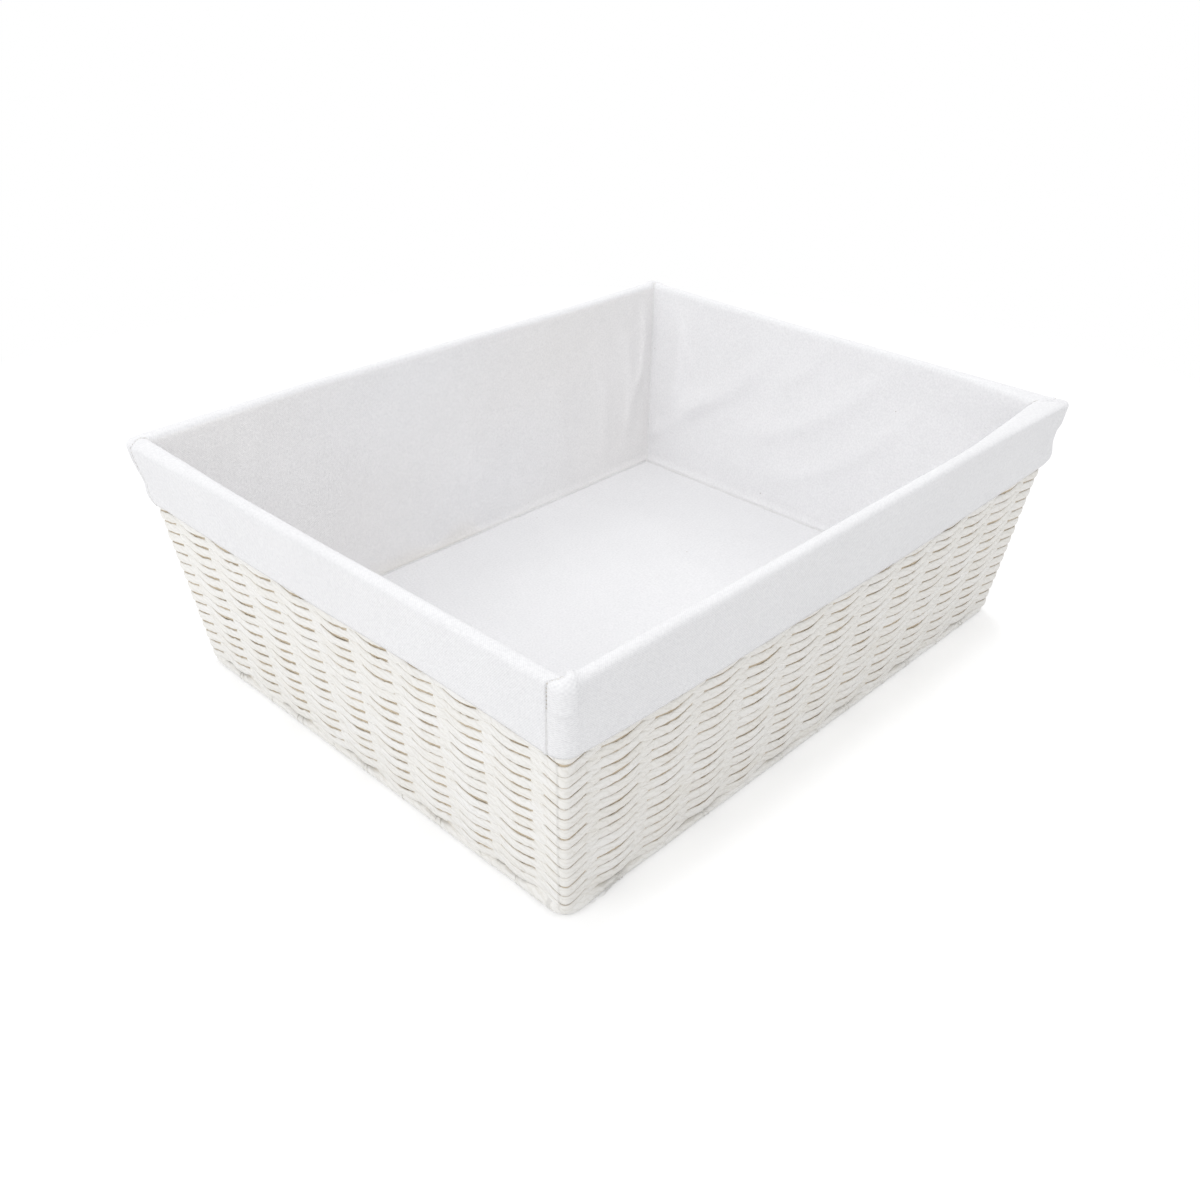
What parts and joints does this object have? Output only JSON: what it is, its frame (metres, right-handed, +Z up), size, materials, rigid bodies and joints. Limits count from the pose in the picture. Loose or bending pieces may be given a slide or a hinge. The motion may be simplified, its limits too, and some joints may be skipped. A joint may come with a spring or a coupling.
{
  "type": "laundry basket",
  "caption": "Open rectangular basket of woven paper rope with flared walls, and a lift-out cotton liner turned over its rim as a cuff.",
  "frame": {"origin": "middle of the footprint, on the ground", "axes": "+X along the long sides, +Y to the back, +Z up"},
  "size_m": [0.4598, 0.3598, 0.155],
  "materials": {
    "paper_rope": "matt ivory paper rope",
    "steel_wire": "white paint",
    "cotton_cloth": "white plain-weave cotton",
    "cotton_seam": "white sewn seam"
  },
  "bodies": {
    "basket": {"rim_wire": "steel_wire", "foot_wire": "steel_wire", "base_ring": "steel_wire", "corner_post_front_left": "steel_wire", "corner_post_front_right": "steel_wire", "corner_post_back_right": "steel_wire", "corner_post_back_left": "steel_wire", "stakes_front": "steel_wire", "stakes_right": "steel_wire", "stakes_back": "steel_wire", "stakes_left": "steel_wire", "base_stakes": "steel_wire", "rim_wrap": "paper_rope", "foot_wrap": "paper_rope", "wall_rope_01": "paper_rope", "wall_rope_02": "paper_rope", "wall_rope_03": "paper_rope", "wall_rope_04": "paper_rope", "wall_rope_05": "paper_rope", "wall_rope_06": "paper_rope", "wall_rope_07": "paper_rope", "wall_rope_08": "paper_rope", "wall_rope_09": "paper_rope", "wall_rope_10": "paper_rope", "wall_rope_11": "paper_rope", "wall_rope_12": "paper_rope", "wall_rope_13": "paper_rope", "wall_rope_14": "paper_rope", "wall_rope_15": "paper_rope", "wall_rope_16": "paper_rope", "wall_rope_17": "paper_rope", "wall_rope_18": "paper_rope", "wall_rope_19": "paper_rope", "wall_rope_20": "paper_rope", "base_rope_1": "paper_rope", "base_rope_2": "paper_rope", "base_rope_3": "paper_rope", "base_rope_4": "paper_rope"},
    "liner": {"liner_floor": "cotton_cloth", "liner_wall_front": "cotton_cloth", "liner_wall_right": "cotton_cloth", "liner_wall_back": "cotton_cloth", "liner_wall_left": "cotton_cloth", "liner_cuff_front": "cotton_cloth", "liner_cuff_right": "cotton_cloth", "liner_cuff_back": "cotton_cloth", "liner_cuff_left": "cotton_cloth", "floor_seam": "cotton_seam", "corner_seam_front_left": "cotton_seam", "corner_seam_front_right": "cotton_seam", "corner_seam_back_right": "cotton_seam", "corner_seam_back_left": "cotton_seam"}
  },
  "joints": [
    {"name": "liner_lift", "type": "slide", "parent": "basket", "child": "liner", "axis": [0, 0, 1], "range_m": [0, 0.2], "deforming": ["liner_cuff_front", "liner_cuff_right", "liner_cuff_back", "liner_cuff_left"]}
  ]
}
